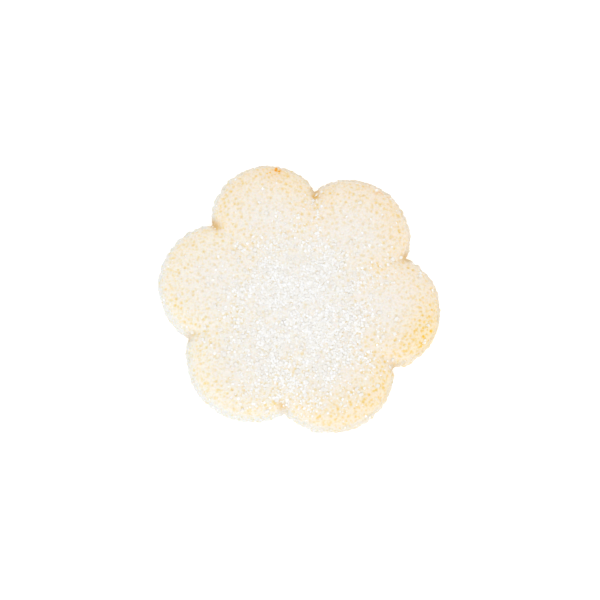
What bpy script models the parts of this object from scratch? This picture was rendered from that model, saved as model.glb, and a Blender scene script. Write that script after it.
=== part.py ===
"""A sugar cookie in the shape of a six-petalled flower, strewn with coarse sugar.

The cookie is cut from rolled dough and baked pale: a flat underside, a soft round
shoulder, a low crown, and a shallow crease running in from each notch between two
petals. Its largest sugar crystals stand in the top and are one solid with it.

Units are metres and +Z is up. The origin is on the flat underside, at the middle of
the cookie's box, and +X runs across the wider way.
"""

import math
import random

import bmesh
import bpy
from mathutils import Euler, Vector, noise

MM = 0.001

# Plan: each petal is a round lobe, given as the direction of its centre in degrees from
# +X, the distance of that centre from the middle of the cookie, and the lobe's radius.
PETALS = (
    (51.9, 19.9 * MM, 15.2 * MM),
    (112.8, 21.6 * MM, 14.3 * MM),
    (170.9, 20.1 * MM, 15.9 * MM),
    (230.5, 19.2 * MM, 16.4 * MM),
    (292.1, 18.8 * MM, 16.2 * MM),
    (352.0, 20.2 * MM, 15.0 * MM),
)
MIDDLE_RADIUS = 24.0 * MM
LOBE_BLEND = 0.15 * MM
OUTER_LIMIT = 42.0 * MM
INNER_LIMIT = 15.0 * MM
OUTLINE_HALVINGS = 30
EDGE_WOBBLE = 0.2 * MM
EDGE_WOBBLE_LENGTH = 6.0 * MM

# Section: the edge turns out from the flat base to its widest line, then rolls over
# the shoulder to the top.
BASE_INSET = 1.3 * MM
WIDEST_HEIGHT = 2.2 * MM
SHOULDER_WIDTH = 6.0 * MM
SHOULDER_HEIGHT = 7.3 * MM
SHOULDER_ROUNDNESS = 2.3
CROWN_HEIGHT = 0.6 * MM
CROWN_RADIUS = 34.0 * MM

# Top relief: the creases that run in from the notches, and the dough's slow swells.
CREASE_DEPTH = 0.5 * MM
CREASE_HALF_WIDTH = 1.3 * MM
CREASE_LENGTH = 8.0 * MM
CREASE_FADE_POWER = 1.5
SWELL_HEIGHT = 0.16 * MM
SWELL_LENGTH = 8.0 * MM
SLOPE_STEP = 0.2 * MM

# Mesh rings, as depths inside the outline in millimetres, then as shares of the last one.
STEPS_PER_PETAL = 22
BASE_TURN_STEPS = 3
SHOULDER_DEPTHS = (0.12, 0.45, 1.0, 1.8, 2.9, 4.4)
MIDDLE_SHARES = (0.9, 0.78, 0.64, 0.5, 0.35, 0.2)

# Sugar: most crystals lie near the middle of the top, below the centre of the plan.
CRYSTAL_COUNT = 200
CRYSTAL_SPACING = 1.75 * MM
CRYSTAL_LONG = (0.75 * MM, 1.2 * MM)
CRYSTAL_WIDE = (0.55 * MM, 0.85 * MM)
CRYSTAL_TALL = (0.4 * MM, 0.65 * MM)
CRYSTAL_TILT = math.radians(20)
CRYSTAL_LIFT = 0.05
CRYSTAL_EDGE_DEPTH = 1.6 * MM
SUGAR_MIDDLE = (-0.8 * MM, -4.6 * MM)
SUGAR_SPREAD = 17.0 * MM
SUGAR_FALL = 4
SUGAR_STRAY_SHARE = 0.012
SUGAR_SEED = 23

COOKIE_COLOUR = (0.90, 0.80, 0.64, 1.0)
COOKIE_ROUGHNESS = 0.8
SMOOTH_ANGLE = math.radians(35)


def clear_scene():
    for obj in list(bpy.data.objects):
        bpy.data.objects.remove(obj)


def add_collection(name):
    collection = bpy.data.collections.new(name)
    bpy.context.scene.collection.children.link(collection)
    return collection


def cookie_material():
    material = bpy.data.materials.new("baked_dough")
    material.use_nodes = True
    shader = material.node_tree.nodes["Principled BSDF"]
    shader.inputs["Base Color"].default_value = COOKIE_COLOUR
    shader.inputs["Roughness"].default_value = COOKIE_ROUGHNESS
    shader.inputs["Metallic"].default_value = 0.0
    material.diffuse_color = COOKIE_COLOUR
    return material


def lobe_circles():
    """The petals as (centre x, centre y, radius), before the plan is centred."""
    return [
        (reach * math.cos(math.radians(turn)), reach * math.sin(math.radians(turn)), radius)
        for turn, reach, radius in PETALS
    ]


def plan_offset():
    """Where the middle of the plan's box lies, seen from the point the petals turn about."""
    circles = lobe_circles()
    low_x = min(x - radius for x, _, radius in circles)
    high_x = max(x + radius for x, _, radius in circles)
    low_y = min(y - radius for _, y, radius in circles)
    high_y = max(y + radius for _, y, radius in circles)
    return (low_x + high_x) / 2, (low_y + high_y) / 2


def centred_plan():
    """The lobes and the middle disc, with the middle of the plan's box at the origin."""
    shift_x, shift_y = plan_offset()
    lobes = [(x - shift_x, y - shift_y, radius) for x, y, radius in lobe_circles()]
    return lobes, (-shift_x, -shift_y, MIDDLE_RADIUS)


LOBES, MIDDLE_DISC = centred_plan()


def depth_inside(x, y):
    """How far a point of the plan is inside the outline. Neighbouring lobes blend softly."""
    depths = [radius - math.hypot(x - cx, y - cy) for cx, cy, radius in [*LOBES, MIDDLE_DISC]]
    deepest = max(depths)
    blended = sum(math.exp((depth - deepest) / LOBE_BLEND) for depth in depths)
    wobble = EDGE_WOBBLE * noise.noise(Vector((x, y, 0.0)) / EDGE_WOBBLE_LENGTH)
    return deepest + LOBE_BLEND * math.log(blended) + wobble


def notch_points():
    """Where each petal's arc meets the next one's, from the two circles' outer crossing."""
    points = []
    for index, (x0, y0, r0) in enumerate(LOBES):
        x1, y1, r1 = LOBES[(index + 1) % len(LOBES)]
        gap = math.hypot(x1 - x0, y1 - y0)
        along = (gap**2 + r0**2 - r1**2) / (2 * gap)
        aside = math.sqrt(r0**2 - along**2)
        ux, uy = (x1 - x0) / gap, (y1 - y0) / gap
        crossings = [
            (x0 + along * ux - side * aside * uy, y0 + along * uy + side * aside * ux)
            for side in (-1, 1)
        ]
        points.append(max(crossings, key=lambda point: math.hypot(*point)))
    return points


NOTCHES = notch_points()


def crease_at(x, y):
    """The depth of the creases that run from the notches towards the middle."""
    total = 0.0
    for notch_x, notch_y in NOTCHES:
        reach = math.hypot(notch_x, notch_y)
        ux, uy = notch_x / reach, notch_y / reach
        inward = reach - (x * ux + y * uy)
        aside = x * uy - y * ux
        fade = max(0.0, 1.0 - max(0.0, inward) / CREASE_LENGTH)
        total += fade**CREASE_FADE_POWER * math.exp(-((aside / CREASE_HALF_WIDTH) ** 2))
    return CREASE_DEPTH * min(1.0, total)


def top_height(x, y):
    """The height of the upper surface over the widest line and everywhere inside it."""
    share = min(1.0, max(0.0, depth_inside(x, y)) / SHOULDER_WIDTH)
    roll = (1 - (1 - share) ** SHOULDER_ROUNDNESS) ** (1 / SHOULDER_ROUNDNESS)
    crown = CROWN_HEIGHT * max(0.0, 1 - (math.hypot(x, y) / CROWN_RADIUS) ** 2)
    swell = SWELL_HEIGHT * noise.noise(Vector((x, y, SWELL_LENGTH)) / SWELL_LENGTH)
    relief = crown + swell - crease_at(x, y)
    return WIDEST_HEIGHT + (SHOULDER_HEIGHT - WIDEST_HEIGHT) * roll + roll * relief


def top_normal(x, y):
    rise_x = top_height(x + SLOPE_STEP, y) - top_height(x - SLOPE_STEP, y)
    rise_y = top_height(x, y + SLOPE_STEP) - top_height(x, y - SLOPE_STEP)
    slope_x, slope_y = rise_x / (2 * SLOPE_STEP), rise_y / (2 * SLOPE_STEP)
    return Vector((-slope_x, -slope_y, 1.0)).normalized()


def ray_directions():
    """Directions round the plan, with one at each notch and even steps along each petal."""
    turns = [math.atan2(y, x) for x, y in NOTCHES]
    directions = []
    for index, start in enumerate(turns):
        sweep = (turns[(index + 1) % len(turns)] - start) % math.tau
        for step in range(STEPS_PER_PETAL):
            turn = start + sweep * step / STEPS_PER_PETAL
            directions.append((math.cos(turn), math.sin(turn)))
    return directions


def contour(depth, directions):
    """The line of points that lie at one depth inside the outline, found by bisection."""
    points = []
    for ux, uy in directions:
        inside, outside = INNER_LIMIT, OUTER_LIMIT
        for _ in range(OUTLINE_HALVINGS):
            middle = (inside + outside) / 2
            if depth_inside(middle * ux, middle * uy) > depth:
                inside = middle
            else:
                outside = middle
        points.append((inside * ux, inside * uy))
    return points


def base_rings(directions):
    """The turn from the flat underside out to the widest line, a quarter of an ellipse."""
    rings = []
    for step in range(BASE_TURN_STEPS + 1):
        turn = math.pi / 2 * step / BASE_TURN_STEPS
        inset = BASE_INSET * (1 - math.sin(turn))
        height = WIDEST_HEIGHT * (1 - math.cos(turn))
        rings.append([(x, y, height) for x, y in contour(inset, directions)])
    return rings


def top_rings(directions):
    """The shoulder's contours, then smaller copies of the last one towards the middle."""
    plans = [contour(depth * MM, directions) for depth in SHOULDER_DEPTHS]
    plans += [[(x * share, y * share) for x, y in plans[-1]] for share in MIDDLE_SHARES]
    return [[(x, y, top_height(x, y)) for x, y in plan] for plan in plans]


def cookie_mesh():
    """Skins the rings from the underside to the middle of the top."""
    directions = ray_directions()
    shape = bmesh.new()
    rings = [
        [shape.verts.new(point) for point in ring]
        for ring in base_rings(directions) + top_rings(directions)
    ]
    count = len(directions)
    shape.faces.new(reversed(rings[0]))
    for lower, upper in zip(rings, rings[1:]):
        for index in range(count):
            after = (index + 1) % count
            shape.faces.new((lower[index], lower[after], upper[after], upper[index]))
    peak = shape.verts.new((0.0, 0.0, top_height(0.0, 0.0)))
    for index in range(count):
        shape.faces.new((rings[-1][index], rings[-1][(index + 1) % count], peak))
    bmesh.ops.recalc_face_normals(shape, faces=shape.faces)
    mesh = bpy.data.meshes.new("sugar_cookie")
    shape.to_mesh(mesh)
    shape.free()
    return mesh


def sugar_share(x, y):
    """How thickly the sugar lies at a point of the plan, from 0 to 1."""
    away = math.hypot(x - SUGAR_MIDDLE[0], y - SUGAR_MIDDLE[1]) / SUGAR_SPREAD
    return SUGAR_STRAY_SHARE + (1 - SUGAR_STRAY_SHARE) * math.exp(-(away**SUGAR_FALL))


def crystal_places(draw):
    """Scattered spots for the crystals, thickest where the sugar is and never crowded."""
    places = []
    while len(places) < CRYSTAL_COUNT:
        x, y = draw.uniform(-OUTER_LIMIT, OUTER_LIMIT), draw.uniform(-OUTER_LIMIT, OUTER_LIMIT)
        wanted = draw.random() < sugar_share(x, y)
        if not wanted or depth_inside(x, y) < CRYSTAL_EDGE_DEPTH:
            continue
        if all(math.hypot(x - px, y - py) >= CRYSTAL_SPACING for px, py in places):
            places.append((x, y))
    return places


def add_crystal(index, x, y, draw, collection):
    """One blocky crystal, sunk almost half into the top and tipped at random."""
    size = Vector([draw.uniform(*span) for span in (CRYSTAL_LONG, CRYSTAL_WIDE, CRYSTAL_TALL)])
    tip_x, tip_y = draw.uniform(-CRYSTAL_TILT, CRYSTAL_TILT), draw.uniform(-CRYSTAL_TILT, CRYSTAL_TILT)
    spin = draw.uniform(0.0, math.tau)
    shape = bmesh.new()
    bmesh.ops.create_cube(shape, size=1.0)
    bmesh.ops.scale(shape, vec=size, verts=shape.verts)
    mesh = bpy.data.meshes.new(f"crystal_{index}")
    shape.to_mesh(mesh)
    shape.free()
    crystal = bpy.data.objects.new(f"crystal_{index}", mesh)
    normal = top_normal(x, y)
    lean = normal.to_track_quat("Z", "Y") @ Euler((tip_x, tip_y, spin)).to_quaternion()
    crystal.rotation_mode = "QUATERNION"
    crystal.rotation_quaternion = lean
    crystal.location = Vector((x, y, top_height(x, y))) + normal * size.z * CRYSTAL_LIFT
    collection.objects.link(crystal)


def fuse(body, collection):
    """Joins every object of the collection to the body, then removes them."""
    union = body.modifiers.new("fuse_crystals", "BOOLEAN")
    union.operation = "UNION"
    union.operand_type = "COLLECTION"
    union.collection = collection
    union.solver = "MANIFOLD"
    bpy.context.view_layer.objects.active = body
    bpy.ops.object.modifier_apply(modifier=union.name)
    for obj in list(collection.objects):
        bpy.data.objects.remove(obj)
    bpy.data.collections.remove(collection)


def build_cookie():
    clear_scene()
    draw = random.Random(SUGAR_SEED)
    cookie = bpy.data.objects.new("sugar_cookie", cookie_mesh())
    add_collection("sugar_cookie").objects.link(cookie)
    cookie.data.materials.append(cookie_material())
    crystals = add_collection("sugar_crystals")
    for index, (x, y) in enumerate(crystal_places(draw)):
        add_crystal(index, x, y, draw, crystals)
    bpy.context.view_layer.update()
    fuse(cookie, crystals)
    cookie.data.shade_smooth()
    cookie.data.set_sharp_from_angle(angle=SMOOTH_ANGLE)


build_cookie()
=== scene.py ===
"""The looks of a sugar cookie in the shape of a six-petalled flower, as a Blender add-on.

The dough is one dense mesh that follows the same shape rules as the solid, with its
crumb, pits and creases as real relief. The coarse sugar lies where the solid's crystals
stand, and fine sugar is strewn over and round it. Lengths are metres and +Z is up.
"""

import math
import random

import bmesh
import bpy
import numpy as np
from bpy.props import FloatProperty, FloatVectorProperty, IntProperty, PointerProperty
from mathutils import Euler, Matrix, Vector, noise
from mathutils.bvhtree import BVHTree
from mathutils.kdtree import KDTree


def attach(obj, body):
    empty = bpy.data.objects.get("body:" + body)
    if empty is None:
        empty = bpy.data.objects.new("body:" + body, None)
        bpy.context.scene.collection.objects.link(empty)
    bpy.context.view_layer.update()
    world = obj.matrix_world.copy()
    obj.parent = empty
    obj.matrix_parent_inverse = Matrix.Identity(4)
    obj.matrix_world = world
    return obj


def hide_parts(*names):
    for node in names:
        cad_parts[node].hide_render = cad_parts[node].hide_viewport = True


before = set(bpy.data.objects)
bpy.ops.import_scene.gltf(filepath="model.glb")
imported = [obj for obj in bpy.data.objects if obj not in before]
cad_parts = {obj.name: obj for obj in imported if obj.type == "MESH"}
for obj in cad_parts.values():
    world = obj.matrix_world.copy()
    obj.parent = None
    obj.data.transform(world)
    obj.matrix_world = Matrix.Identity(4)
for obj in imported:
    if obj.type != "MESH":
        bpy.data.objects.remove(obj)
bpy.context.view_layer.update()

bl_info = {
    "name": "Sugar Cookie",
    "version": (1, 0, 0),
    "blender": (4, 5, 0),
    "location": "3D View > Sidebar > Cookie",
    "description": "Makes a flower-shaped sugar cookie with real crumb relief and strewn sugar",
    "category": "Object",
}

MM = 0.001
BODY = "root"
NODE = "sugar_cookie"

# Plan, as in the solid: each petal's direction in degrees from +X, the distance of its
# centre from the middle of the cookie, and its radius.
PETALS = (
    (51.9, 19.9 * MM, 15.2 * MM),
    (112.8, 21.6 * MM, 14.3 * MM),
    (170.9, 20.1 * MM, 15.9 * MM),
    (230.5, 19.2 * MM, 16.4 * MM),
    (292.1, 18.8 * MM, 16.2 * MM),
    (352.0, 20.2 * MM, 15.0 * MM),
)
MIDDLE_RADIUS = 24.0 * MM
LOBE_BLEND = 0.15 * MM
OUTER_LIMIT = 42.0 * MM
INNER_LIMIT = 15.0 * MM
OUTLINE_HALVINGS = 20
FEWEST_CORNERS = 6
EDGE_WOBBLE = 0.2 * MM
EDGE_WOBBLE_LENGTH = 6.0 * MM

# Section, as in the solid.
BASE_INSET = 1.3 * MM
WIDEST_HEIGHT = 2.2 * MM
SHOULDER_WIDTH = 6.0 * MM
SHOULDER_HEIGHT = 7.3 * MM
SHOULDER_ROUNDNESS = 2.3
CROWN_HEIGHT = 0.6 * MM
CROWN_RADIUS = 34.0 * MM
CREASE_DEPTH = 0.5 * MM
CREASE_HALF_WIDTH = 1.3 * MM
CREASE_LENGTH = 8.0 * MM
CREASE_FADE_POWER = 1.5
SWELL_HEIGHT = 0.16 * MM
SWELL_LENGTH = 8.0 * MM
SLOPE_STEP = 0.2 * MM

# Coarse sugar, as in the solid, but with its edges cut by a share of its size.
CRYSTAL_COUNT = 200
CRYSTAL_SPACING = 1.75 * MM
CRYSTAL_LONG = (0.75 * MM, 1.2 * MM)
CRYSTAL_WIDE = (0.55 * MM, 0.85 * MM)
CRYSTAL_TALL = (0.4 * MM, 0.65 * MM)
CRYSTAL_TILT = math.radians(20)
CRYSTAL_LIFT = 0.05
CRYSTAL_EDGE_DEPTH = 1.6 * MM
SUGAR_MIDDLE = (-0.8 * MM, -4.6 * MM)
SUGAR_SPREAD = 17.0 * MM
SUGAR_FALL = 4
SUGAR_STRAY_SHARE = 0.012
SUGAR_SEED = 23
COARSE_BEVEL = 0.12

# Fine sugar: each grain's shape as shares of its length.
GRAIN_SIZE_POWER = 1.6
GRAIN_WIDTH = (0.7, 1.0)
GRAIN_FLATNESS = (0.35, 0.55)
GRAIN_LIFT = (-0.3, 0.1)
FINE_BEVEL = 0.18
# Heights at which grains stick to the sides, and from which rays look for the top.
SIDE_GRAIN_HEIGHTS = (1.0 * MM, 6.5 * MM)
RAY_HEIGHT = 20.0 * MM
# The drift's edge, and the noise that breaks it into patches: how thick they are on average,
# how much they vary, how thin they get, and the height at which the noise is read.
DRIFT_FALL = 3.2
PATCH_MEAN = 0.75
PATCH_SWING = 1.5
PATCH_THINNEST = 0.1
PATCH_LEVEL = 50.0 * MM
# The thin line of grains that runs down the top crease: its middle and its reach each way.
SUGAR_LINE_MIDDLE = (4.1 * MM, 19.5 * MM)
SUGAR_LINE_REACH = (0.9 * MM, 6.0 * MM)
SUGAR_LINE_SHARE = 0.35
# The sugar dust that is baked into the top, in the same way.
DUST_MIDDLE = (-0.5 * MM, -1.5 * MM)
DUST_REACH = (24.0 * MM, 25.0 * MM)

# Dense mesh of the dough. The samples of the shoulder's profile crowd towards its steep
# foot. Each reach is the distance from the middle at which a ring's vertices are counted.
LAST_CONTOUR = 1.9 * MM
PROFILE_SAMPLES = 400
PROFILE_CROWDING = 3
OUTLINE_REACH = 35.0 * MM
BASE_REACH = 33.0 * MM
INNER_REACH = 33.0 * MM
UNDERSIDE_STEP = 0.5 * MM
# How far apart the three noises of the relief are read, so that they don't repeat each other.
NOISE_SHIFT = 1.0
# How much deeper than the petals' arcs each notch is, in the order of the notches.
NOTCH_BITES = (0.5 * MM, 0.45 * MM, 0.2 * MM, 0.0, 0.5 * MM, 0.2 * MM)
NOTCH_BITE_RADIUS = 1.3 * MM

# Golden places on the rim, as (x, y, radius, strength).
GOLDEN_SPOTS = (
    (31.5 * MM, -10.5 * MM, 5.5 * MM, 0.8),
    (22.5 * MM, -24.0 * MM, 7.0 * MM, 0.42),
    (11.0 * MM, -30.0 * MM, 7.0 * MM, 0.3),
    (34.0 * MM, -3.0 * MM, 4.0 * MM, 0.25),
    (-2.0 * MM, 30.0 * MM, 5.0 * MM, 0.22),
)
# Faint browned patches round the orange dots and on the upper right petal, in the same way.
BROWNED_PATCHES = (
    (-6.3 * MM, 31.7 * MM, 2.4 * MM, 0.2),
    (22.2 * MM, 25.4 * MM, 0.6 * MM, 0.2),
)
# The cluster of small orange dots on the upper left petal.
ORANGE_DOTS = (
    (-6.15 * MM, 32.6 * MM, 0.5 * MM, 2.5),
    (-6.3 * MM, 32.05 * MM, 0.5 * MM, 2.5),
    (-5.45 * MM, 31.75 * MM, 0.45 * MM, 2.2),
    (-5.15 * MM, 32.4 * MM, 0.42 * MM, 1.4),
)
# Amber dots under and beside that cluster and on the right petal's golden place.
AMBER_DOTS = (
    (-6.2 * MM, 32.2 * MM, 1.1 * MM, 0.55),
    (-5.3 * MM, 32.0 * MM, 1.0 * MM, 0.5),
    (-5.5 * MM, 31.1 * MM, 0.4 * MM, 0.9),
    (-6.5 * MM, 30.9 * MM, 0.35 * MM, 0.7),
    (-7.75 * MM, 31.3 * MM, 0.42 * MM, 1.3),
    (-8.5 * MM, 31.0 * MM, 0.38 * MM, 0.9),
    (32.8 * MM, -3.4 * MM, 0.5 * MM, 1.0),
    (32.6 * MM, -8.7 * MM, 0.55 * MM, 1.7),
    (30.6 * MM, -10.2 * MM, 0.55 * MM, 1.6),
    (30.1 * MM, -12.5 * MM, 0.5 * MM, 1.2),
    (30.1 * MM, -8.9 * MM, 0.5 * MM, 0.8),
)
# How much of a height difference counts in a dot's radius, so that few run down the wall.
DOT_STEEPNESS = 0.3
# Darker marks by three of the notches, on top of the creases' own: partly browning and partly
# painted shade in the notches.
NOTCH_STAINS_AND_SHADE = (
    (3.8 * MM, 25.4 * MM, 0.9 * MM, 1.2),
    (-21.2 * MM, 17.0 * MM, 1.0 * MM, 0.7),
    (-4.8 * MM, -27.8 * MM, 0.95 * MM, 0.8),
)
# The small arc-shaped mark on the upper right petal.
ARC_MARK = (19.9 * MM, 26.0 * MM)
ARC_MARK_RADIUS = 0.9 * MM
ARC_MARK_WIDTH = 0.35 * MM
ARC_MARK_STRENGTH = 0.5
# Browning: how far it reaches in from the edge, how strong it is, and how much weaker it is on
# the pale lower left side, which is partly less browning and partly painted light. The falls say
# how fast the wall's browning and the thin line of painted shade inside the edge fade out there.
TOAST_WIDTH = 9.0 * MM
TOAST_SHARE = 1.05
PALE_LIT_SHARE = 0.55
PALE_LIT_TURN = math.radians(210)
PALE_LIT_SPREAD = math.radians(70)
WALL_TOAST = 0.8
WALL_TOAST_FALL = 4
EDGE_SHADE_DEPTH = 0.5 * MM
EDGE_SHADE_WIDTH = 0.35 * MM
EDGE_SHADE_FALL = 2
TOAST_PATCHES = 0.35
TOAST_PATCH_LENGTH = 7.0 * MM
BASE_TOAST_HEIGHT = 0.8 * MM
# Where the pale and the rough part of the wall fade out, as shares of the way up.
WALL_PALE_RISE = (0.4, 0.85)
WALL_ROUGH_RISE = (0.5, 0.9)
# Stains in the creases, partly browning and partly painted shade, and each one's strength in the
# order of the notches.
CREASE_STAIN_AND_SHADE_LENGTH = 3.0 * MM
CREASE_STAIN_AND_SHADE_WIDTH = 0.9 * MM
CREASE_STAIN_AND_SHADE_SHARES = (1.0, 1.2, 0.5, 0.2, 0.6, 1.5)
# Flecks: how far each is shaken off its grid, how strong the faintest are, how small one of
# no strength would be, how rare the strong ones are, and how much of each is full in colour.
FLECK_SEED = 5
FLECK_SHAKE = 0.48
FLECK_FAINTEST = 0.35
FLECK_SMALLEST = 0.6
FLECK_POWER = 1.8
FLECK_CORE = 0.3

# Surfaces. A speckle or mottle has the scale of its noise and its strength.
SPECKLE_SCALE = 1500.0
SPECKLE_DETAIL = 1.0
SPECKLE_RISE = (0.5, 0.72)
SPECKLE_STRENGTH = 0.55
MOTTLE_DETAIL = 3.0
MOTTLE_ROUGHNESS = 0.6
DOUGH_MOTTLE = (2200.0, 0.28)
DOUGH_BUMP_STRENGTH = 0.35
DOUGH_BUMP_DISTANCE = 0.1 * MM
DOUGH_ROUGHNESS = 0.75
DOUGH_SUBSURFACE = 0.12
DOUGH_SUBSURFACE_RADIUS = (1.0, 0.6, 0.3)
DOUGH_SUBSURFACE_SCALE = 0.8 * MM
SUGAR_MOTTLE = (3000.0, 0.06)
SUGAR_ROUGHNESS = 0.35
SUGAR_IOR = 1.54
FLOOR_ROUGHNESS = 0.9
FLOOR_GREY = (0.6, 0.6, 0.6, 1.0)
WHITE = (1.0, 1.0, 1.0, 1.0)


def lobe_circles():
    """The petals as (centre x, centre y, radius), before the plan is centred."""
    return [
        (reach * math.cos(math.radians(turn)), reach * math.sin(math.radians(turn)), radius)
        for turn, reach, radius in PETALS
    ]


def centred_plan():
    """The lobes and the middle disc, with the middle of the plan's box at the origin."""
    circles = lobe_circles()
    low_x = min(x - radius for x, _, radius in circles)
    high_x = max(x + radius for x, _, radius in circles)
    low_y = min(y - radius for _, y, radius in circles)
    high_y = max(y + radius for _, y, radius in circles)
    shift_x, shift_y = (low_x + high_x) / 2, (low_y + high_y) / 2
    lobes = [(x - shift_x, y - shift_y, radius) for x, y, radius in circles]
    return lobes, (-shift_x, -shift_y, MIDDLE_RADIUS)


LOBES, MIDDLE_DISC = centred_plan()


def smooth_noise(x, y, z, length):
    """Blender's gradient noise at each point of three arrays, or at one point."""
    parts = np.broadcast_arrays(x, y, z)
    points = np.stack(parts, axis=-1).reshape(-1, 3) / length
    values = [noise.noise(point) for point in points.tolist()]
    return np.array(values).reshape(parts[0].shape)


def depth_inside(x, y):
    """How far points of the plan are inside the outline. Neighbouring lobes blend softly."""
    depths = np.stack([r - np.hypot(x - cx, y - cy) for cx, cy, r in [*LOBES, MIDDLE_DISC]])
    deepest = depths.max(axis=0)
    blended = np.exp((depths - deepest) / LOBE_BLEND).sum(axis=0)
    wobble = EDGE_WOBBLE * smooth_noise(x, y, 0.0, EDGE_WOBBLE_LENGTH)
    return deepest + LOBE_BLEND * np.log(blended) + wobble


def notch_points():
    """Where each petal's arc meets the next one's, from the two circles' outer crossing."""
    points = []
    for index, (x0, y0, r0) in enumerate(LOBES):
        x1, y1, r1 = LOBES[(index + 1) % len(LOBES)]
        gap = math.hypot(x1 - x0, y1 - y0)
        along = (gap**2 + r0**2 - r1**2) / (2 * gap)
        aside = math.sqrt(r0**2 - along**2)
        ux, uy = (x1 - x0) / gap, (y1 - y0) / gap
        crossings = [
            (x0 + along * ux - side * aside * uy, y0 + along * uy + side * aside * ux)
            for side in (-1, 1)
        ]
        points.append(max(crossings, key=lambda point: math.hypot(*point)))
    return points


NOTCHES = notch_points()
EVEN_SHARES = (1.0,) * len(NOTCHES)


def creases(x, y, length, half_width, power, shares=EVEN_SHARES):
    """The creases that run in from the notches, from 1 at a notch to 0 at their length."""
    total = 0.0
    for (notch_x, notch_y), share in zip(NOTCHES, shares):
        reach = math.hypot(notch_x, notch_y)
        ux, uy = notch_x / reach, notch_y / reach
        inward = reach - (x * ux + y * uy)
        aside = x * uy - y * ux
        fade = np.maximum(0.0, 1.0 - np.maximum(0.0, inward) / length)
        total = total + share * fade**power * np.exp(-((aside / half_width) ** 2))
    return np.minimum(1.0, total)


def shoulder_roll(depth):
    """The rise from the widest line, as a share of the way to the top."""
    share = np.clip(depth / SHOULDER_WIDTH, 0.0, 1.0)
    return (1 - (1 - share) ** SHOULDER_ROUNDNESS) ** (1 / SHOULDER_ROUNDNESS)


def top_height(x, y):
    """The height of the upper surface over the widest line and everywhere inside it."""
    roll = shoulder_roll(depth_inside(x, y))
    crown = CROWN_HEIGHT * np.maximum(0.0, 1 - (np.hypot(x, y) / CROWN_RADIUS) ** 2)
    swell = SWELL_HEIGHT * smooth_noise(x, y, SWELL_LENGTH, SWELL_LENGTH)
    crease = CREASE_DEPTH * creases(x, y, CREASE_LENGTH, CREASE_HALF_WIDTH, CREASE_FADE_POWER)
    relief = crown + swell - crease
    return WIDEST_HEIGHT + (SHOULDER_HEIGHT - WIDEST_HEIGHT) * roll + roll * relief


def top_normal(x, y):
    """The way that the upper surface faces at a point, from the heights beside it."""
    rise_x = top_height(x + SLOPE_STEP, y) - top_height(x - SLOPE_STEP, y)
    rise_y = top_height(x, y + SLOPE_STEP) - top_height(x, y - SLOPE_STEP)
    slope_x, slope_y = rise_x / (2 * SLOPE_STEP), rise_y / (2 * SLOPE_STEP)
    return Vector((-slope_x, -slope_y, 1.0)).normalized()


def contour(depth, angles):
    """The points at one depth inside the outline, found by bisection along each angle."""
    ux, uy = np.cos(angles), np.sin(angles)
    inside = np.full(len(angles), INNER_LIMIT)
    outside = np.full(len(angles), OUTER_LIMIT)
    for _ in range(OUTLINE_HALVINGS):
        middle = (inside + outside) / 2
        deeper = depth_inside(middle * ux, middle * uy) > depth
        inside = np.where(deeper, middle, inside)
        outside = np.where(deeper, outside, middle)
    return np.column_stack((inside * ux, inside * uy))


def even_angles(reach, step):
    """Directions all round, about one step apart at a distance from the middle."""
    count = max(FEWEST_CORNERS, round(math.tau * reach / step))
    return np.arange(count) * math.tau / count - math.pi


def shoulder_depths(step):
    """Depths inside the outline whose rings lie one step apart along the shoulder."""
    share = np.linspace(0.0, 1.0, PROFILE_SAMPLES) ** PROFILE_CROWDING
    depth = share * LAST_CONTOUR
    height = (SHOULDER_HEIGHT - WIDEST_HEIGHT) * shoulder_roll(depth)
    run = np.concatenate(([0.0], np.cumsum(np.hypot(np.diff(depth), np.diff(height)))))
    return np.interp(np.arange(step, run[-1], step), run, depth)


def inner_rings(depth, reach, step):
    """Copies of one contour, shrunk a step at a time towards the middle, as plans."""
    count = round(reach / step)
    plans = []
    for index in range(1, count):
        share = 1 - index / count
        plans.append(share * contour(depth, even_angles(reach * share, step)))
    return plans


def dough_rings(step):
    """The dough's rings from the middle of the underside, round the edge, to the top."""
    plans = inner_rings(BASE_INSET, BASE_REACH, UNDERSIDE_STEP)
    rings = [np.column_stack((plan, np.zeros(len(plan)))) for plan in reversed(plans)]
    turns = math.ceil(math.hypot(BASE_INSET, WIDEST_HEIGHT) / step)
    for index in range(turns + 1):
        turn = math.pi / 2 * index / turns
        plan = contour(BASE_INSET * (1 - math.sin(turn)), even_angles(OUTLINE_REACH, step))
        height = WIDEST_HEIGHT * (1 - math.cos(turn))
        rings.append(np.column_stack((plan, np.full(len(plan), height))))
    plans = [
        contour(depth, even_angles(OUTLINE_REACH - depth, step)) for depth in shoulder_depths(step)
    ]
    plans += inner_rings(LAST_CONTOUR, INNER_REACH, step)
    rings += [np.column_stack((plan, top_height(plan[:, 0], plan[:, 1]))) for plan in plans]
    return rings


def stitch(first, first_count, second, second_count):
    """The triangles between two rings that both start at the same angle."""
    faces = []
    a = b = 0
    while a < first_count or b < second_count:
        here, there = first + a % first_count, second + b % second_count
        if (a + 1) * second_count <= (b + 1) * first_count:
            a += 1
            faces.append((here, first + a % first_count, there))
        else:
            b += 1
            faces.append((here, second + b % second_count, there))
    return faces


def dough_faces(counts):
    """Triangles between all the rings, and a fan at each end."""
    starts = np.concatenate(([0], np.cumsum(counts))).tolist()
    low, high = starts[-1], starts[-1] + 1
    faces = [(low, (index + 1) % counts[0], index) for index in range(counts[0])]
    for index in range(len(counts) - 1):
        faces += stitch(starts[index], counts[index], starts[index + 1], counts[index + 1])
    last = starts[-2]
    faces += [
        (last + index, last + (index + 1) % counts[-1], high) for index in range(counts[-1])
    ]
    return faces


def soft_step(values, low, high):
    """A smooth rise from 0 at the low value to 1 at the high one."""
    share = np.clip((values - low) / (high - low), 0.0, 1.0)
    return share * share * (3 - 2 * share)


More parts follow.
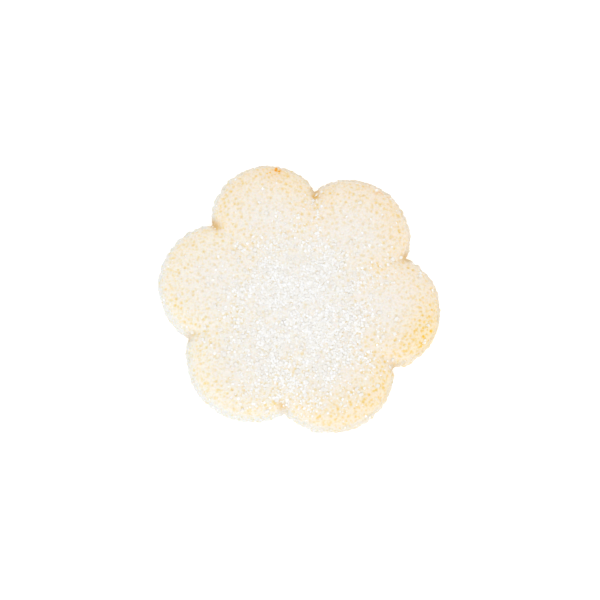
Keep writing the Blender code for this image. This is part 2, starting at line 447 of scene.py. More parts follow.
def fleck_dots(spacing):
    """Dots on a shaken triangular grid over the plan, as places, and their strengths."""
    draw = np.random.default_rng(FLECK_SEED)
    count = math.ceil(2 * OUTER_LIMIT / spacing)
    column, row = np.meshgrid(np.arange(count), np.arange(round(2 * count / math.sqrt(3))))
    grid = np.stack((column + 0.5 * (row % 2), row * math.sqrt(3) / 2), axis=-1).reshape(-1, 2)
    places = (grid + draw.uniform(-FLECK_SHAKE, FLECK_SHAKE, grid.shape)) * spacing - OUTER_LIMIT
    return places, FLECK_FAINTEST + (1 - FLECK_FAINTEST) * draw.random(len(places)) ** FLECK_POWER


def flecks_at(x, y, spacing, radius):
    """How far each point lies in a fleck, from 0 to 1. Faint flecks are smaller too."""
    places, strengths = fleck_dots(spacing)
    dots = KDTree(len(places))
    for index, (px, py) in enumerate(places.tolist()):
        dots.insert((px, py, 0.0), index)
    dots.balance()
    found = [dots.find((px, py, 0.0)) for px, py in zip(x.tolist(), y.tolist())]
    gap = np.array([distance for _, _, distance in found])
    strength = strengths[[index for _, index, _ in found]]
    reach = radius * (FLECK_SMALLEST + (1 - FLECK_SMALLEST) * strength)
    return strength * (1 - soft_step(gap, FLECK_CORE * reach, reach))


def rise_share(z):
    """How far up the side a height lies, from 0 at the widest line to 1 at the shoulder."""
    return (z - WIDEST_HEIGHT) / (SHOULDER_HEIGHT - WIDEST_HEIGHT)


def rim_share(depth):
    """How near the edge a depth is, from 1 at the edge towards 0 in the middle."""
    return np.exp(-((depth / TOAST_WIDTH) ** 2))


def pale_lit_share(x, y):
    """How far a point lies on the pale lower left side, from 0 to 1: partly less browning, partly
    painted light.
    """
    off_pale_lit = (np.arctan2(y, x) - PALE_LIT_TURN + math.pi) % math.tau - math.pi
    return np.exp(-((off_pale_lit / PALE_LIT_SPREAD) ** 2))


def edge_shade_line(x, y, depth):
    """A thin line of painted shade, a little browned, just inside the edge, away from the pale lit
    side.
    """
    line = np.exp(-(((depth - EDGE_SHADE_DEPTH) / EDGE_SHADE_WIDTH) ** 2))
    return line * (1 - pale_lit_share(x, y)) ** EDGE_SHADE_FALL


def toast_at(x, y, z, depth):
    """How browned the dough is: most on the shoulder and underneath, least at the pale side,
    partly as painted light.
    """
    pale = pale_lit_share(x, y)
    side = TOAST_SHARE - PALE_LIT_SHARE * pale
    wall = WALL_TOAST * (1 - pale) ** WALL_TOAST_FALL
    upper = wall + (1 - wall) * soft_step(rise_share(z), *WALL_PALE_RISE)
    patch = 1 + TOAST_PATCHES * smooth_noise(x, y, 0.0, TOAST_PATCH_LENGTH)
    base = 1 - soft_step(z, 0.0, BASE_TOAST_HEIGHT)
    return np.maximum(base, rim_share(depth) * side * patch * upper)


def notch_bites(x, y):
    """How far the dough is bitten in near each notch."""
    return sum(
        bite * np.exp(-((x - nx) ** 2 + (y - ny) ** 2) / NOTCH_BITE_RADIUS**2)
        for (nx, ny), bite in zip(NOTCHES, NOTCH_BITES)
    )


def spots_at(x, y, spots):
    """Soft round spots, each given as its place, its radius and its strength."""
    return sum(
        strength * np.exp(-((x - sx) ** 2 + (y - sy) ** 2) / radius**2)
        for sx, sy, radius, strength in spots
    )


def arc_mark(x, y):
    """The arc-shaped mark, open towards the middle of the cookie."""
    off_arc = np.hypot(x - ARC_MARK[0], y - ARC_MARK[1]) - ARC_MARK_RADIUS
    upper = soft_step(y - ARC_MARK[1], -ARC_MARK_RADIUS / 2, ARC_MARK_RADIUS / 2)
    return ARC_MARK_STRENGTH * upper * np.exp(-((off_arc / ARC_MARK_WIDTH) ** 2))


def set_mask(mesh, name, values):
    """Stores one value for each vertex, for the material to read."""
    mask = mesh.attributes.new(name, "FLOAT", "POINT")
    mask.data.foreach_set("value", np.asarray(values, np.float32))


def dough_mesh(settings):
    """The dense dough, with relief along its normals and its masks as attributes."""
    rings = dough_rings(settings.mesh_step)
    counts = [len(ring) for ring in rings]
    peak = (0.0, 0.0, float(top_height(0.0, 0.0)))
    points = np.concatenate([*rings, [(0.0, 0.0, 0.0), peak]])
    mesh = bpy.data.meshes.new("dough")
    mesh.from_pydata(points.tolist(), [], dough_faces(counts))
    normals = np.zeros(len(points) * 3)
    mesh.vertex_normals.foreach_get("vector", normals)
    normals = normals.reshape(-1, 3)
    x, y, z = points.T
    depth = depth_inside(x, y)
    wall = 1 - soft_step(rise_share(z), *WALL_ROUGH_RISE)
    flecks = flecks_at(x, y, settings.fleck_spacing, settings.fleck_radius) * (1 - wall)
    crumb = smooth_noise(x, y, z, settings.crumb_length)
    lumps = smooth_noise(x, y, z + NOISE_SHIFT, settings.lump_length)
    rough = smooth_noise(x, y, z + 2 * NOISE_SHIFT, settings.wall_length)
    relief = settings.crumb_height * crumb + settings.lump_height * lumps
    relief += settings.wall_height * wall * rough
    relief -= settings.pit_depth * flecks + notch_bites(x, y)
    set_mask(mesh, "toast", toast_at(x, y, z, depth))
    set_mask(mesh, "rim", rim_share(depth))
    set_mask(mesh, "pale", pale_lit_share(x, y))
    # A thin line of painted shade along the edge, a little browned.
    set_mask(mesh, "edge", edge_shade_line(x, y, depth) * (z > WIDEST_HEIGHT))
    set_mask(mesh, "golden", spots_at(x, y, GOLDEN_SPOTS))
    set_mask(mesh, "browned", spots_at(x, y, BROWNED_PATCHES) + arc_mark(x, y))
    set_mask(mesh, "flecks", flecks)
    set_mask(mesh, "wall", wall)
    set_mask(mesh, "dust", ridge(x, y, *DUST_MIDDLE, *DUST_REACH))
    # Crease stains, partly browning and partly painted shade at the notches.
    stain_and_shade = creases(x, y, CREASE_STAIN_AND_SHADE_LENGTH, CREASE_STAIN_AND_SHADE_WIDTH, 1.0, CREASE_STAIN_AND_SHADE_SHARES)
    set_mask(mesh, "crease", stain_and_shade + spots_at(x, y, NOTCH_STAINS_AND_SHADE))
    points = points + normals * relief[:, None]
    points[:, 2] = np.maximum(points[:, 2], 0.0)
    mesh.vertices.foreach_set("co", points.ravel())
    mesh.update()
    mesh.shade_smooth()
    return mesh


def add_piece(mesh, material):
    piece = bpy.data.objects.new(mesh.name, mesh)
    bpy.context.scene.collection.objects.link(piece)
    piece.data.materials.append(material)
    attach(piece, BODY)
    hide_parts(NODE)
    return piece


def grain_shape(bevel, upright_only):
    """A block one unit long each way, with its edges cut off, as points and faces."""
    shape = bmesh.new()
    bmesh.ops.create_cube(shape, size=1.0)
    edges = [
        edge for edge in shape.edges
        if not upright_only or abs(edge.verts[0].co.z - edge.verts[1].co.z) > 0.5
    ]
    bmesh.ops.bevel(shape, geom=edges, offset=bevel, segments=1, affect="EDGES")
    points = np.array([vertex.co for vertex in shape.verts])
    faces = [[vertex.index for vertex in face.verts] for face in shape.faces]
    shape.free()
    return points, faces


def joined_grains(name, shape, grains):
    """One mesh of many grains. Each grain is its middle, its turn and its size."""
    points, faces = shape
    places, all_faces = [], []
    for index, (middle, turn, size) in enumerate(grains):
        matrix = np.array(turn.to_matrix()) * np.array(size)
        places.append(points @ matrix.T + np.array(middle))
        first = index * len(points)
        all_faces += [[first + corner for corner in face] for face in faces]
    mesh = bpy.data.meshes.new(name)
    mesh.from_pydata(np.concatenate(places).tolist(), [], all_faces)
    mesh.update()
    return mesh


def sugar_share(x, y):
    """How thickly the coarse sugar lies at a point of the plan, from 0 to 1."""
    away = math.hypot(x - SUGAR_MIDDLE[0], y - SUGAR_MIDDLE[1]) / SUGAR_SPREAD
    return SUGAR_STRAY_SHARE + (1 - SUGAR_STRAY_SHARE) * math.exp(-(away**SUGAR_FALL))


def crystal_places(draw):
    """The solid's scattered spots for the coarse crystals."""
    places = []
    while len(places) < CRYSTAL_COUNT:
        x, y = draw.uniform(-OUTER_LIMIT, OUTER_LIMIT), draw.uniform(-OUTER_LIMIT, OUTER_LIMIT)
        wanted = draw.random() < sugar_share(x, y)
        if not wanted or depth_inside(x, y) < CRYSTAL_EDGE_DEPTH:
            continue
        if all(math.hypot(x - px, y - py) >= CRYSTAL_SPACING for px, py in places):
            places.append((x, y))
    return places


def coarse_grains():
    """The solid's crystals, drawn in the same order."""
    draw = random.Random(SUGAR_SEED)
    spans = (CRYSTAL_LONG, CRYSTAL_WIDE, CRYSTAL_TALL)
    grains = []
    for x, y in crystal_places(draw):
        size = Vector([draw.uniform(*span) for span in spans])
        tip_x = draw.uniform(-CRYSTAL_TILT, CRYSTAL_TILT)
        tip_y = draw.uniform(-CRYSTAL_TILT, CRYSTAL_TILT)
        spin = draw.uniform(0.0, math.tau)
        normal = top_normal(x, y)
        turn = normal.to_track_quat("Z", "Y") @ Euler((tip_x, tip_y, spin)).to_quaternion()
        middle = Vector((x, y, float(top_height(x, y)))) + normal * size.z * CRYSTAL_LIFT
        grains.append((middle, turn, size))
    return grains


def ridge(x, y, middle_x, middle_y, reach_x, reach_y, fall=2):
    """A soft oval heap, 1 at its middle. A larger fall gives it a flatter top."""
    away = np.hypot((x - middle_x) / reach_x, (y - middle_y) / reach_y)
    return np.exp(-(away**fall))


def fine_share(x, y, settings):
    """How thickly the fine sugar lies: a wide drift in patches, a thin line and strays."""
    reach = (settings.drift_width, settings.drift_length)
    drift = ridge(x, y, settings.drift_x, settings.drift_y, *reach, fall=DRIFT_FALL)
    patch = PATCH_MEAN + PATCH_SWING * smooth_noise(x, y, PATCH_LEVEL, settings.patch_length)
    drift = drift * np.clip(patch, PATCH_THINNEST, 1.0)
    line = SUGAR_LINE_SHARE * ridge(x, y, *SUGAR_LINE_MIDDLE, *SUGAR_LINE_REACH)
    return np.maximum(settings.stray_share + (1 - settings.stray_share) * drift, line)


def fine_grain(draw, settings, spot, normal):
    """One small flat block, resting on the surface and about half sunk in it."""
    growth = draw.random() ** GRAIN_SIZE_POWER
    long = settings.grain_small + (settings.grain_large - settings.grain_small) * growth
    flat = draw.uniform(*GRAIN_FLATNESS)
    size = Vector((long, long * draw.uniform(*GRAIN_WIDTH), long * flat))
    tilt = settings.grain_tilt
    tips = (draw.uniform(-tilt, tilt), draw.uniform(-tilt, tilt), draw.uniform(0.0, math.tau))
    turn = normal.to_track_quat("Z", "Y") @ Euler(tips).to_quaternion()
    return spot + normal * size.z * draw.uniform(*GRAIN_LIFT), turn, size


def fine_grains(surface, settings):
    """Small grains over the top, and a few that stick to the sides."""
    draw = random.Random(settings.seed)
    scatter = np.random.default_rng(settings.seed)
    grains = []
    while len(grains) < settings.top_count:
        x, y = scatter.uniform(-OUTER_LIMIT, OUTER_LIMIT, (2, settings.top_count))
        kept = scatter.random(settings.top_count) < fine_share(x, y, settings)
        kept &= depth_inside(x, y) > settings.edge_depth
        for px, py in zip(x[kept].tolist(), y[kept].tolist()):
            start = Vector((px, py, RAY_HEIGHT))
            spot, normal, _, _ = surface.ray_cast(start, Vector((0.0, 0.0, -1.0)))
            grains.append(fine_grain(draw, settings, spot, normal))
    grains = grains[: settings.top_count]
    for _ in range(settings.side_count):
        angle = draw.uniform(0.0, math.tau)
        out = Vector((math.cos(angle), math.sin(angle), 0.0))
        start = out * OUTER_LIMIT + Vector((0.0, 0.0, draw.uniform(*SIDE_GRAIN_HEIGHTS)))
        spot, normal, _, _ = surface.ray_cast(start, -out)
        grains.append(fine_grain(draw, settings, spot, normal))
    return grains


class Nodes:
    """Adds and joins the nodes of one node tree."""

    def __init__(self, tree):
        self.tree = tree

    def add(self, kind, inputs=(), **values):
        """One node. Inputs are given by name or number, as a value or a linked socket."""
        node = self.tree.nodes.new(kind)
        for name, value in values.items():
            setattr(node, name, value)
        for name, value in dict(inputs).items():
            self.feed(node.inputs[name], value)
        return node

    def feed(self, socket, value):
        if isinstance(value, bpy.types.NodeSocket):
            self.tree.links.new(value, socket)
        else:
            socket.default_value = value

    def math(self, operation, first, second=0.0, clamp=False):
        inputs = {0: first, 1: second}
        node = self.add("ShaderNodeMath", inputs, operation=operation, use_clamp=clamp)
        return node.outputs[0]

    def mix(self, share, first, second, blend="MIX"):
        """A colour between two, by a share from 0 to 1."""
        node = self.add("ShaderNodeMix", data_type="RGBA", blend_type=blend)
        self.feed(node.inputs["Factor"], share)
        self.feed(node.inputs["A"], first)
        self.feed(node.inputs["B"], second)
        return node.outputs["Result"]

    def mask(self, name):
        node = self.add("ShaderNodeAttribute", attribute_name=name)
        return node.outputs["Fac"]

    def place(self):
        """Each shaded point's place on the object."""
        return self.add("ShaderNodeTexCoord").outputs["Object"]

    def noise(self, scale, detail, roughness=0.5):
        inputs = {"Vector": self.place(), "Scale": scale, "Detail": detail, "Roughness": roughness}
        return self.add("ShaderNodeTexNoise", inputs).outputs["Fac"]

    def vector(self, operation, inputs):
        return self.add("ShaderNodeVectorMath", inputs, operation=operation).outputs

    def group(self, tree, inputs):
        """One use of a node group. Gives its outputs."""
        return self.add("ShaderNodeGroup", inputs, node_tree=tree).outputs


def new_group(name, sockets):
    """A node group with its sockets, its nodes, what it is given and what it puts out."""
    group = bpy.data.node_groups.new(name, "ShaderNodeTree")
    for socket, way, kind in sockets:
        group.interface.new_socket(name=socket, in_out=way, socket_type=kind)
    nodes = Nodes(group)
    return group, nodes, nodes.add("NodeGroupInput").outputs, nodes.add("NodeGroupOutput").inputs


def mottle_group():
    """A node group that varies a colour slightly and gives a fine height to go with it."""
    if "mottle" in bpy.data.node_groups:
        return bpy.data.node_groups["mottle"]
    sockets = (
        ("Colour", "INPUT", "NodeSocketColor"),
        ("Scale", "INPUT", "NodeSocketFloat"),
        ("Strength", "INPUT", "NodeSocketFloat"),
        ("Colour", "OUTPUT", "NodeSocketColor"),
        ("Height", "OUTPUT", "NodeSocketFloat"),
    )
    group, nodes, given, made = new_group("mottle", sockets)
    fine = nodes.noise(given["Scale"], MOTTLE_DETAIL, MOTTLE_ROUGHNESS)
    swing = nodes.math("SUBTRACT", fine, 0.5)
    change = nodes.math("MULTIPLY", swing, given["Strength"])
    factor = nodes.math("ADD", change, 1.0)
    scaled = nodes.vector("SCALE", {0: given["Colour"], "Scale": factor})
    nodes.feed(made["Colour"], scaled["Vector"])
    nodes.feed(made["Height"], fine)
    return group


def dot_group():
    """A node group that adds one soft dot, round from above, to a mask."""
    if "dot" in bpy.data.node_groups:
        return bpy.data.node_groups["dot"]
    sockets = (
        ("Mask", "INPUT", "NodeSocketFloat"),
        ("Place", "INPUT", "NodeSocketVector"),
        ("Radius", "INPUT", "NodeSocketFloat"),
        ("Strength", "INPUT", "NodeSocketFloat"),
        ("Mask", "OUTPUT", "NodeSocketFloat"),
    )
    group, nodes, given, made = new_group("dot", sockets)
    away = nodes.vector("SUBTRACT", {0: nodes.place(), 1: given["Place"]})
    away = nodes.vector("MULTIPLY", {0: away["Vector"], 1: (1.0, 1.0, DOT_STEEPNESS)})
    gap = nodes.vector("LENGTH", {0: away["Vector"]})["Value"]
    inputs = {0: gap, 1: 0.0, 2: given["Radius"], 3: given["Strength"], 4: 0.0}
    fade = nodes.add("ShaderNodeMapRange", inputs, interpolation_type="SMOOTHSTEP")
    nodes.feed(made["Mask"], nodes.math("MAXIMUM", given["Mask"], fade.outputs[0]))
    return group


def dot_mask(nodes, dots):
    """The mask of some round dots, each given as its place, its radius and its strength."""
    mask = 0.0
    for x, y, radius, strength in dots:
        place = (x, y, float(top_height(x, y)))
        inputs = {"Mask": mask, "Place": place, "Radius": radius, "Strength": strength}
        mask = nodes.group(dot_group(), inputs)["Mask"]
    return mask


def mottled(nodes, colour, mottle):
    """One use of the mottle group on a colour, with the mottle's scale and strength."""
    scale, strength = mottle
    inputs = {"Colour": colour, "Scale": scale, "Strength": strength}
    return nodes.group(mottle_group(), inputs)


def new_material(name):
    """A material with a Principled shader, and its nodes to build on."""
    material = bpy.data.materials.new(name)
    material.use_nodes = True
    return material, Nodes(material.node_tree), material.node_tree.nodes["Principled BSDF"]


def baked_colour(nodes, settings):
    """The dough's colour: pale wall with painted grey shade, a browned rim that is paler on its
    lit side, sugar dust, crease stains with painted shade, and a thin painted shade line at the
    edge.
    """
    # The rim is paler on the lower left: partly less browning, partly painted light.
    browned = nodes.mix(nodes.mask("pale"), settings.rim, settings.pale_lit_rim)
    # The wall's cool grey partly paints the shade along the edge.
    colour = nodes.mix(nodes.mask("wall"), settings.cream, settings.wall)
    colour = nodes.mix(nodes.mask("toast"), colour, browned)
    colour = nodes.mix(nodes.mask("golden"), colour, settings.golden)
    dust = nodes.math("MULTIPLY", nodes.mask("dust"), settings.dust_strength)
    colour = nodes.mix(dust, colour, settings.dust)
    # Browning and painted shade in the creases and by the notches.
    stain_and_shade = nodes.math("MULTIPLY", nodes.mask("crease"), settings.crease_stain_and_shade_strength, clamp=True)
    colour = nodes.mix(stain_and_shade, colour, settings.crease)
    # Painted shade, a little browned, in a thin line just inside the edge.
    line = nodes.math("MULTIPLY", nodes.mask("edge"), settings.edge_shade_strength)
    return nodes.mix(line, colour, settings.edge)


def flecked(nodes, settings, colour):
    """A colour with flecks and finer speckles, stronger on the rim and where it is golden."""
    rim = nodes.mask("rim")
    golden = nodes.mask("golden")
    strength = nodes.math("MULTIPLY", rim, settings.rim_fleck_strength)
    strength = nodes.math("ADD", strength, settings.fleck_strength)
    extra = nodes.math("MULTIPLY", golden, settings.golden_fleck_strength)
    strength = nodes.math("ADD", strength, extra)
    baked = nodes.math("ADD", rim, golden, clamp=True)
    tint = nodes.mix(baked, settings.pale_fleck, settings.fleck)
    low, high = SPECKLE_RISE
    grain = nodes.noise(SPECKLE_SCALE, SPECKLE_DETAIL)
    inputs = {0: grain, 1: low, 2: high, 3: 0.0, 4: SPECKLE_STRENGTH}
    speckles = nodes.add("ShaderNodeMapRange", inputs).outputs[0]
    for marks in (nodes.mask("flecks"), speckles):
        share = nodes.math("MULTIPLY", strength, marks, clamp=True)
        colour = nodes.mix(share, colour, tint, blend="MULTIPLY")
    return colour


def dough_material(settings):
    """Pale baked dough: cream, with a browned shoulder, creases stained and painted with shade,
    and amber flecks.
    """
    material, nodes, shader = new_material("baked_dough")
    colour = flecked(nodes, settings, baked_colour(nodes, settings))
    colour = nodes.mix(nodes.mask("browned"), colour, settings.browned)
    colour = nodes.mix(dot_mask(nodes, AMBER_DOTS), colour, settings.amber)
    colour = nodes.mix(dot_mask(nodes, ORANGE_DOTS), colour, settings.orange)
    mottle = mottled(nodes, colour, DOUGH_MOTTLE)
    bump = nodes.add("ShaderNodeBump", {"Height": mottle["Height"]})
    bump.inputs["Strength"].default_value = DOUGH_BUMP_STRENGTH
    bump.inputs["Distance"].default_value = DOUGH_BUMP_DISTANCE
    nodes.feed(shader.inputs["Base Color"], mottle["Colour"])
    nodes.feed(shader.inputs["Normal"], bump.outputs["Normal"])
    shader.inputs["Roughness"].default_value = DOUGH_ROUGHNESS
    shader.inputs["Subsurface Weight"].default_value = DOUGH_SUBSURFACE
    shader.inputs["Subsurface Radius"].default_value = DOUGH_SUBSURFACE_RADIUS
    shader.inputs["Subsurface Scale"].default_value = DOUGH_SUBSURFACE_SCALE
    return material


def sugar_material(name, clear, white):
    """Clear to white sugar: glossy facets, each grain a little different."""
    material, nodes, shader = new_material(name)
    grain = nodes.add("ShaderNodeNewGeometry").outputs["Random Per Island"]
    mottle = mottled(nodes, nodes.mix(grain, clear, white), SUGAR_MOTTLE)
    nodes.feed(shader.inputs["Base Color"], mottle["Colour"])
    shader.inputs["Roughness"].default_value = SUGAR_ROUGHNESS
    shader.inputs["IOR"].default_value = SUGAR_IOR
    return material


# Each of these four makes settings of one kind.
def length_setting(name, description, default, **limits):
    return FloatProperty(
        name=name, description=description, default=default,
        subtype="DISTANCE", unit="LENGTH", precision=5, **limits,
    )


def angle_setting(name, description, degrees):
    return FloatProperty(
        name=name, description=description, default=math.radians(degrees),
        subtype="ANGLE", unit="ROTATION",
    )


def share_setting(name, description, default, most=1.0):
    return FloatProperty(
        name=name, description=description, default=default,
        subtype="FACTOR", min=0.0, max=most,
    )


def colour_setting(name, description, default):
    return FloatVectorProperty(
        name=name, description=description, default=(*default, 1.0),
        subtype="COLOR", size=4, min=0.0, max=1.0,
    )


class DoughSettings(bpy.types.PropertyGroup):
    mesh_step: length_setting(
        "Mesh Step", "Distance between the dough's vertices", 0.25 * MM, min=0.1 * MM,
    )
    crumb_height: length_setting(
        "Crumb Height", "How far the fine crumb stands out or in", 0.1 * MM,
    )
    crumb_length: length_setting("Crumb Length", "Size of the fine crumb", 0.75 * MM)
    lump_height: length_setting("Lump Height", "How far the soft lumps stand out or in", 0.09 * MM)
    lump_length: length_setting("Lump Length", "Size of the soft lumps", 2.2 * MM)
    wall_height: length_setting(
        "Wall Height", "How far the rough side wall stands out or in", 0.55 * MM,
    )
    wall_length: length_setting("Wall Length", "Size of the rough side wall's bumps", 1.1 * MM)
    pit_depth: length_setting(
        "Pit Depth", "How far the surface dips where a fleck lies", 0.13 * MM,
    )
    fleck_radius: length_setting("Fleck Radius", "Radius of the largest flecks", 0.55 * MM)
    fleck_spacing: length_setting("Fleck Spacing", "Typical distance between flecks", 1.35 * MM)
    cream: colour_setting("Cream", "Colour of the pale middle of the top", (0.795, 0.755, 0.70))
    # The wall colour is pale dough with a cool grey that partly paints the shade along the edge.
    wall: colour_setting("Wall", "Colour of the pale side wall", (0.75, 0.755, 0.735))
    rim: colour_setting("Rim", "Colour of the lightly browned shoulder", (0.825, 0.71, 0.565))
    # The pale rim is partly less browned dough and partly painted light on the lit side.
    pale_lit_rim: colour_setting(
        "Pale Rim", "Colour of the shoulder on the palest side", (0.85, 0.78, 0.62),
    )
    # The edge colour and strength paint the shade of the steep edge, a little browned.
    edge: colour_setting(
        "Edge", "Colour of the thin line just inside the edge", (0.57, 0.49, 0.38),
    )
    edge_shade_strength: share_setting(
        "Edge Strength", "How strong the thin line just inside the edge is", 0.3,
    )
    golden: colour_setting("Golden", "Colour of the golden places on the rim", (0.84, 0.69, 0.42))
    browned: colour_setting(
        "Browned", "Colour of the small browned patches and the arc mark", (0.82, 0.42, 0.10),
    )
    amber: colour_setting("Amber", "Colour of the small amber dots", (0.85, 0.50, 0.02))
    orange: colour_setting("Orange", "Colour of the small orange dots", (0.84, 0.32, 0.0))
    dust: colour_setting(
        "Dust", "Colour of the finest sugar dust, baked into the top", (0.84, 0.835, 0.82),
    )
    dust_strength: share_setting(
        "Dust Strength", "How thick the sugar dust is in the middle", 0.47,
    )
    # The crease colour is partly browning and partly painted shade in the notches.
    crease: colour_setting("Crease", "Colour of the stain in each crease", (0.70, 0.41, 0.07))
    crease_stain_and_shade_strength: share_setting(
        "Crease Strength", "How strong the stain in each crease is", 0.7,
    )
    fleck: colour_setting(
        "Fleck", "Tint of the amber flecks on the browned shoulder", (0.99, 0.83, 0.40),
    )
    pale_fleck: colour_setting(
        "Pale Fleck", "Tint of the faint flecks in the pale middle", (0.93, 0.80, 0.52),
    )
    fleck_strength: share_setting(
        "Fleck Strength", "How strong the flecks are in the pale middle", 0.55,
    )
    rim_fleck_strength: share_setting(
        "Rim Fleck Strength", "How much stronger the flecks are at the rim", 0.6,
    )
    golden_fleck_strength: share_setting(
        "Golden Fleck Strength", "How much stronger the flecks are where it is golden", 1.1, 2.0,
    )


class SugarSettings(bpy.types.PropertyGroup):
    seed: IntProperty(name="Seed", description="Start of the random strewing", default=7)
    top_count: IntProperty(
        name="Top Count", description="Number of fine grains on the top", default=4500, min=1,
    )
    side_count: IntProperty(
        name="Side Count", description="Number of fine grains on the sides", default=160, min=0,
    )
    grain_small: length_setting("Smallest Grain", "Length of the smallest fine grains", 0.28 * MM)
    grain_large: length_setting("Largest Grain", "Length of the largest fine grains", 0.75 * MM)
    grain_tilt: angle_setting("Grain Tilt", "How far a grain may lean on the surface", 20)
    drift_x: length_setting("Drift X", "Middle of the sugar drift across the cookie", 0.2 * MM)
    drift_y: length_setting("Drift Y", "Middle of the sugar drift along the cookie", -6.3 * MM)
    drift_width: length_setting(
        "Drift Width", "Reach of the sugar drift across the cookie", 15.0 * MM,
    )
    drift_length: length_setting(
        "Drift Length", "Reach of the sugar drift along the cookie", 19.0 * MM,
    )
    patch_length: length_setting(
        "Patch Length", "Size of the patches that the drift breaks into", 4.0 * MM,
    )
    edge_depth: length_setting(
        "Edge Depth", "How far inside the outline the fine grains stay", 0.5 * MM,
    )
    stray_share: share_setting(
        "Stray Share", "How thickly stray grains lie away from the drift", 0.003,
    )
    sugar_clear: colour_setting(
        "Clear Sugar", "Colour of the clearest grains", (0.83, 0.81, 0.755),
    )
    sugar_white: colour_setting(
        "White Sugar", "Colour of the whitest grains", (0.895, 0.90, 0.915),
    )
    coarse_clear: colour_setting(
        "Clear Crystals", "Colour of the clearest coarse crystals", (0.79, 0.76, 0.71),
    )
    coarse_white: colour_setting(
        "White Crystals", "Colour of the whitest coarse crystals", (0.83, 0.815, 0.79),
    )


class StageSettings(bpy.types.PropertyGroup):
    aim: FloatVectorProperty(
        name="Aim", description="Point that the camera looks at",
        default=(-0.1 * MM, -1.0 * MM, 5.0 * MM), size=3, subtype="TRANSLATION",
        unit="LENGTH", precision=5,
    )
    tilt: angle_setting("Camera Tilt", "Angle between the view and the vertical", 12)
    bearing: angle_setting("Camera Bearing", "Side of the cookie on which the camera stands", 252)
    distance: length_setting("Camera Distance", "Distance from the camera to its aim", 0.5)
    view_width: length_setting("View Width", "Width of the picture at the aim", 0.15)
    floor_size: length_setting("Floor Size", "Length of the floor's sides", 4.0)
    floor_gap: length_setting(
        "Floor Gap", "How far the floor lies below the flat underside", 0.02 * MM,
    )
    table_glow: FloatProperty(
        name="Table Glow", description="How much the light table itself shines", default=0.55,
    )
    sky_strength: FloatProperty(
        name="Sky Strength", description="Strength of the even light from all round", default=1.05,
    )
    lamp_power: FloatProperty(
        name="Lamp Power", description="Power of the large soft lamp",
        default=1.3, subtype="POWER", unit="POWER",
    )
    lamp_size: length_setting("Lamp Size", "Length of the lamp's sides", 0.5)
    lamp_place: FloatVectorProperty(
        name="Lamp Place", description="Where the large soft lamp hangs",
        default=(-0.05, -0.65, 0.65), size=3, subtype="TRANSLATION", unit="LENGTH",
    )


class COOKIE_OT_bake_dough(bpy.types.Operator):
    """Make the dough with its crumb, pits, creases and browned rim"""

    bl_idname = "cookie.bake_dough"
    bl_label = "Bake Dough"

    def execute(self, context):
        settings = context.scene.cookie_dough
        add_piece(dough_mesh(settings), dough_material(settings))
        return {"FINISHED"}


class COOKIE_OT_strew_coarse_sugar(bpy.types.Operator):
    """Strew the coarse crystals where the solid's crystals stand"""

    bl_idname = "cookie.strew_coarse_sugar"
    bl_label = "Strew Coarse Sugar"

    def execute(self, context):
        settings = context.scene.cookie_sugar
        mesh = joined_grains("coarse_sugar", grain_shape(COARSE_BEVEL, False), coarse_grains())
        material = sugar_material("coarse_sugar", settings.coarse_clear, settings.coarse_white)
        add_piece(mesh, material)
        return {"FINISHED"}


class COOKIE_OT_strew_fine_sugar(bpy.types.Operator):
    """Strew the fine sugar over the top and sides of the dough"""

    bl_idname = "cookie.strew_fine_sugar"
    bl_label = "Strew Fine Sugar"

    def execute(self, context):
        settings = context.scene.cookie_sugar
        dough = bpy.data.objects["dough"].data
        corners = [vertex.co for vertex in dough.vertices]
        surface = BVHTree.FromPolygons(corners, [face.vertices for face in dough.polygons])
        grains = fine_grains(surface, settings)
        mesh = joined_grains("fine_sugar", grain_shape(FINE_BEVEL, True), grains)
        material = sugar_material("fine_sugar", settings.sugar_clear, settings.sugar_white)
        add_piece(mesh, material)
        return {"FINISHED"}


def add_floor(settings):
    """A light table just under the cookie, which leaves no shadow."""
    shape = bmesh.new()
    bmesh.ops.create_grid(shape, x_segments=1, y_segments=1, size=settings.floor_size / 2)
    mesh = bpy.data.meshes.new("floor")
    shape.to_mesh(mesh)
    shape.free()
    floor = bpy.data.objects.new("floor", mesh)
    bpy.context.scene.collection.objects.link(floor)
    material, _, shader = new_material("floor")
    shader.inputs["Base Color"].default_value = FLOOR_GREY
    shader.inputs["Emission Color"].default_value = WHITE
    shader.inputs["Emission Strength"].default_value = settings.table_glow
    shader.inputs["Roughness"].default_value = FLOOR_ROUGHNESS
    floor.location.z = -settings.floor_gap
    floor.data.materials.append(material)


def add_lamp(settings):
    """A large soft lamp that faces the cookie."""
    lamp = bpy.data.lights.new("soft_lamp", "AREA")
    lamp.energy = settings.lamp_power
    lamp.shape = "SQUARE"
    lamp.size = settings.lamp_size
    holder = bpy.data.objects.new("soft_lamp", lamp)
    bpy.context.scene.collection.objects.link(holder)
    place = Vector(settings.lamp_place)
    holder.location = place
    holder.rotation_euler = (-place).to_track_quat("-Z", "Y").to_euler()


def add_sky(settings):
    """Even white light from all round."""
    world = bpy.data.worlds.new("even_sky")
    world.use_nodes = True
    background = world.node_tree.nodes["Background"]
    background.inputs["Color"].default_value = WHITE
    background.inputs["Strength"].default_value = settings.sky_strength
    bpy.context.scene.world = world


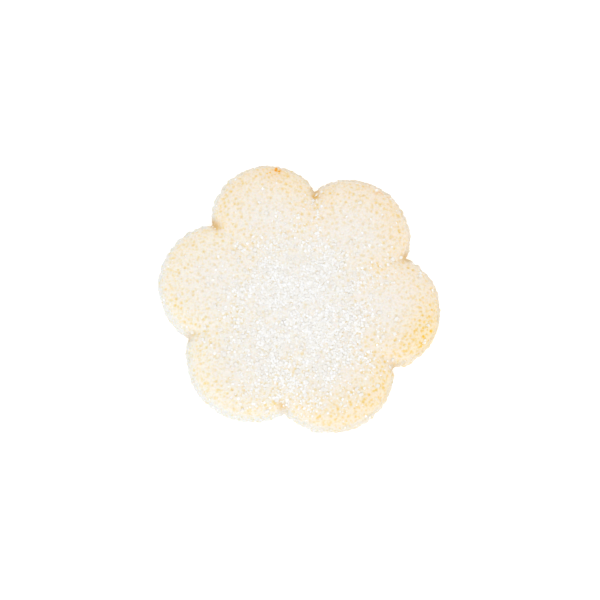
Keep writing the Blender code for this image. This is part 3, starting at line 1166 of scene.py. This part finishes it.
def add_camera(settings):
    """A camera that stands off its aim by the tilt and the bearing."""
    back = Vector((
        math.cos(settings.bearing) * math.sin(settings.tilt),
        math.sin(settings.bearing) * math.sin(settings.tilt),
        math.cos(settings.tilt),
    ))
    camera = bpy.data.cameras.new("camera")
    camera.lens = camera.sensor_width * settings.distance / settings.view_width
    holder = bpy.data.objects.new("camera", camera)
    bpy.context.scene.collection.objects.link(holder)
    holder.location = Vector(settings.aim) + back * settings.distance
    right = Vector((0.0, 1.0, 0.0)).cross(back).normalized()
    turn = Matrix((right, back.cross(right), back)).transposed()
    holder.rotation_euler = turn.to_euler()
    bpy.context.scene.camera = holder


class COOKIE_OT_set_stage(bpy.types.Operator):
    """Lay the pale floor, hang the soft light and set up the camera"""

    bl_idname = "cookie.set_stage"
    bl_label = "Set Stage"

    def execute(self, context):
        settings = context.scene.cookie_stage
        add_floor(settings)
        add_lamp(settings)
        add_sky(settings)
        add_camera(settings)
        context.scene.view_settings.view_transform = "Standard"
        return {"FINISHED"}


OPERATORS = (
    COOKIE_OT_bake_dough,
    COOKIE_OT_strew_coarse_sugar,
    COOKIE_OT_strew_fine_sugar,
    COOKIE_OT_set_stage,
)


class COOKIE_PT_panel(bpy.types.Panel):
    """Lists the steps that make the cookie"""

    bl_idname = "COOKIE_PT_panel"
    bl_label = "Sugar Cookie"
    bl_space_type = "VIEW_3D"
    bl_region_type = "UI"
    bl_category = "Cookie"

    def draw(self, context):
        for operator in OPERATORS:
            self.layout.operator(operator.bl_idname)
        for settings in (
            context.scene.cookie_dough,
            context.scene.cookie_sugar,
            context.scene.cookie_stage,
        ):
            box = self.layout.box()
            for name in settings.__annotations__:
                box.prop(settings, name)


CLASSES = (DoughSettings, SugarSettings, StageSettings, *OPERATORS, COOKIE_PT_panel)


def register():
    for cls in CLASSES:
        bpy.utils.register_class(cls)
    bpy.types.Scene.cookie_dough = PointerProperty(type=DoughSettings)
    bpy.types.Scene.cookie_sugar = PointerProperty(type=SugarSettings)
    bpy.types.Scene.cookie_stage = PointerProperty(type=StageSettings)


def unregister():
    del bpy.types.Scene.cookie_stage
    del bpy.types.Scene.cookie_sugar
    del bpy.types.Scene.cookie_dough
    for cls in reversed(CLASSES):
        bpy.utils.unregister_class(cls)


def main():
    register()
    bpy.ops.cookie.bake_dough()
    bpy.ops.cookie.strew_coarse_sugar()
    bpy.ops.cookie.strew_fine_sugar()
    bpy.ops.cookie.set_stage()


if __name__ == "__main__":
    main()
